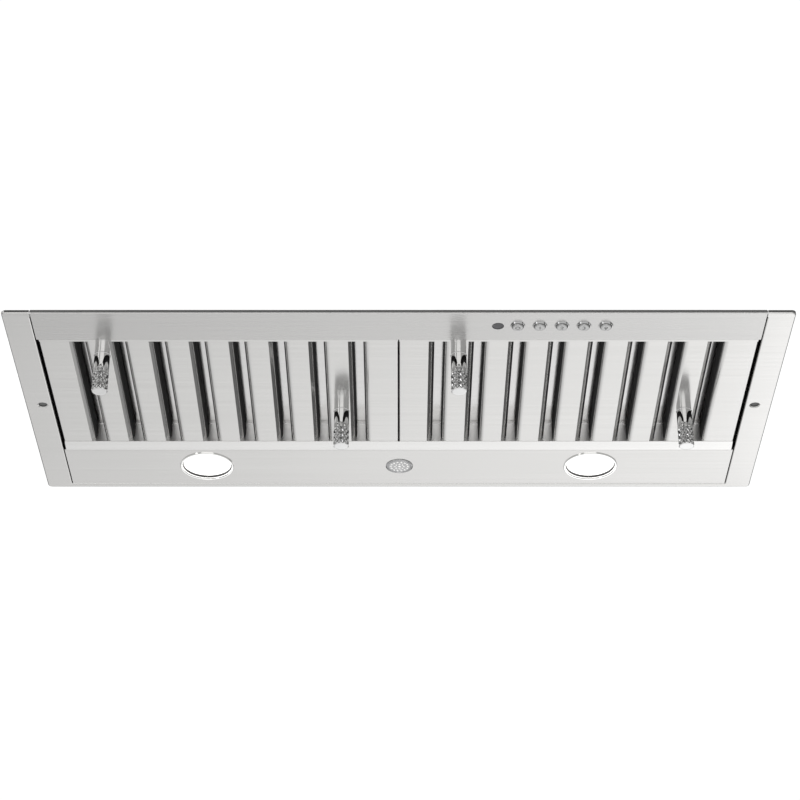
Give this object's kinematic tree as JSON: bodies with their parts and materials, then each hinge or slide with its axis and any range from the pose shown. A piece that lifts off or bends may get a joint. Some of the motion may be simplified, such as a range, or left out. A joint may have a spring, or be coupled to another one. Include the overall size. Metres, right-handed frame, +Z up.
{
  "type": "built-in range hood insert",
  "caption": "Stainless built-in range hood insert with push-button fascia, baffle filters with pull knobs, recessed lamps, a blower and a rectangular duct collar with damper.",
  "frame": {"origin": "centre of the flange, on the plane of its upturned lip, where it meets the cabinet's underside", "axes": "+X to the right along the front edge, +Y to the rear, +Z up towards the duct"},
  "size_m": [0.868, 0.39, 0.235],
  "materials": {
    "stainless": "brushed satin stainless steel",
    "galvanised": "plain galvanised sheet",
    "chrome": "polished chrome",
    "button": "satin chrome",
    "lens": "opal diffuser",
    "indicator": "smoked translucent plastic",
    "badge": "satin, with a turned rim",
    "black_plastic": "moulded",
    "fan_plastic": "moulded",
    "motor": "grey enamel",
    "circuit_board": "green solder mask",
    "cable": "black sleeving",
    "aluminium": "plain"
  },
  "bodies": {
    "hood_body": {"canopy_shell": "stainless", "front_fascia": "stainless", "filter_rail": "stainless", "lamp_panel": "stainless", "indicator_lens": "indicator", "switch_block": "black_plastic", "control_board": "circuit_board", "wireway_divider": "galvanised", "led_driver": "black_plastic", "badge_disc": "badge", "motor_body": "motor", "motor_strap": "galvanised", "capacitor": "aluminium", "duct_collar": "galvanised", "damper_rod": "chrome", "junction_box": "galvanised", "junction_cover": "galvanised", "cable_gland": "black_plastic", "terminal_block": "black_plastic", "control_harness": "cable", "bezel_off": "chrome", "bezel_speed_1": "chrome", "bezel_speed_2": "chrome", "bezel_speed_3": "chrome", "bezel_lamp": "chrome", "lamp_ring_left": "chrome", "lamp_lens_left": "lens", "lamp_can_left": "aluminium", "led_board_left": "circuit_board", "lamp_lead_left": "cable", "scroll_left": "galvanised", "inlet_plate_left": "galvanised", "lamp_ring_right": "chrome", "lamp_lens_right": "lens", "lamp_can_right": "aluminium", "led_board_right": "circuit_board", "lamp_lead_right": "cable", "scroll_right": "galvanised", "inlet_plate_right": "galvanised", "collar_screw_1": "chrome", "collar_screw_2": "chrome", "collar_screw_3": "chrome", "collar_screw_4": "chrome"},
    "filter_left": {"filter_tray_left": "stainless", "filter_baffle_left": "stainless", "filter_knob_left_front": "chrome", "filter_knob_left_rear": "chrome"},
    "filter_right": {"filter_tray_right": "stainless", "filter_baffle_right": "stainless", "filter_knob_right_front": "chrome", "filter_knob_right_rear": "chrome"},
    "push_button_off": {"button_off": "button"},
    "push_button_speed_1": {"button_speed_1": "button"},
    "push_button_speed_2": {"button_speed_2": "button"},
    "push_button_speed_3": {"button_speed_3": "button"},
    "push_button_lamp": {"button_lamp": "button"},
    "damper": {"damper_leaf": "aluminium"},
    "blower_rotor": {"motor_shaft": "motor", "fan_wheel_left": "fan_plastic", "fan_wheel_right": "fan_plastic"}
  },
  "joints": [
    {"name": "filter_left_tilt", "type": "hinge", "parent": "hood_body", "child": "filter_left", "pos_m": [-0.2004, 0.084, -0.0029], "axis": [1, 0, 0], "range_deg": [0, 90]},
    {"name": "filter_right_tilt", "type": "hinge", "parent": "hood_body", "child": "filter_right", "pos_m": [0.2004, 0.084, -0.0029], "axis": [1, 0, 0], "range_deg": [0, 90]},
    {"name": "push_off", "type": "slide", "parent": "hood_body", "child": "push_button_off", "axis": [0, 0, 1], "range_m": [0, 0.002], "stiffness_N_per_m": 300, "springref_m": -0.003},
    {"name": "push_speed_1", "type": "slide", "parent": "hood_body", "child": "push_button_speed_1", "axis": [0, 0, 1], "range_m": [0, 0.002], "stiffness_N_per_m": 300, "springref_m": -0.003},
    {"name": "push_speed_2", "type": "slide", "parent": "hood_body", "child": "push_button_speed_2", "axis": [0, 0, 1], "range_m": [0, 0.002], "stiffness_N_per_m": 300, "springref_m": -0.003},
    {"name": "push_speed_3", "type": "slide", "parent": "hood_body", "child": "push_button_speed_3", "axis": [0, 0, 1], "range_m": [0, 0.002], "stiffness_N_per_m": 300, "springref_m": -0.003},
    {"name": "push_lamp", "type": "slide", "parent": "hood_body", "child": "push_button_lamp", "axis": [0, 0, 1], "range_m": [0, 0.002], "stiffness_N_per_m": 300, "springref_m": -0.003},
    {"name": "damper_swing", "type": "hinge", "parent": "hood_body", "child": "damper", "pos_m": [0, 0.1015, 0.162], "axis": [1, 0, 0], "range_deg": [0, 75]},
    {"name": "blower_spin", "type": "hinge", "parent": "hood_body", "child": "blower_rotor", "pos_m": [0, 0.106, 0.092], "axis": [1, 0, 0], "continuous": true}
  ]
}
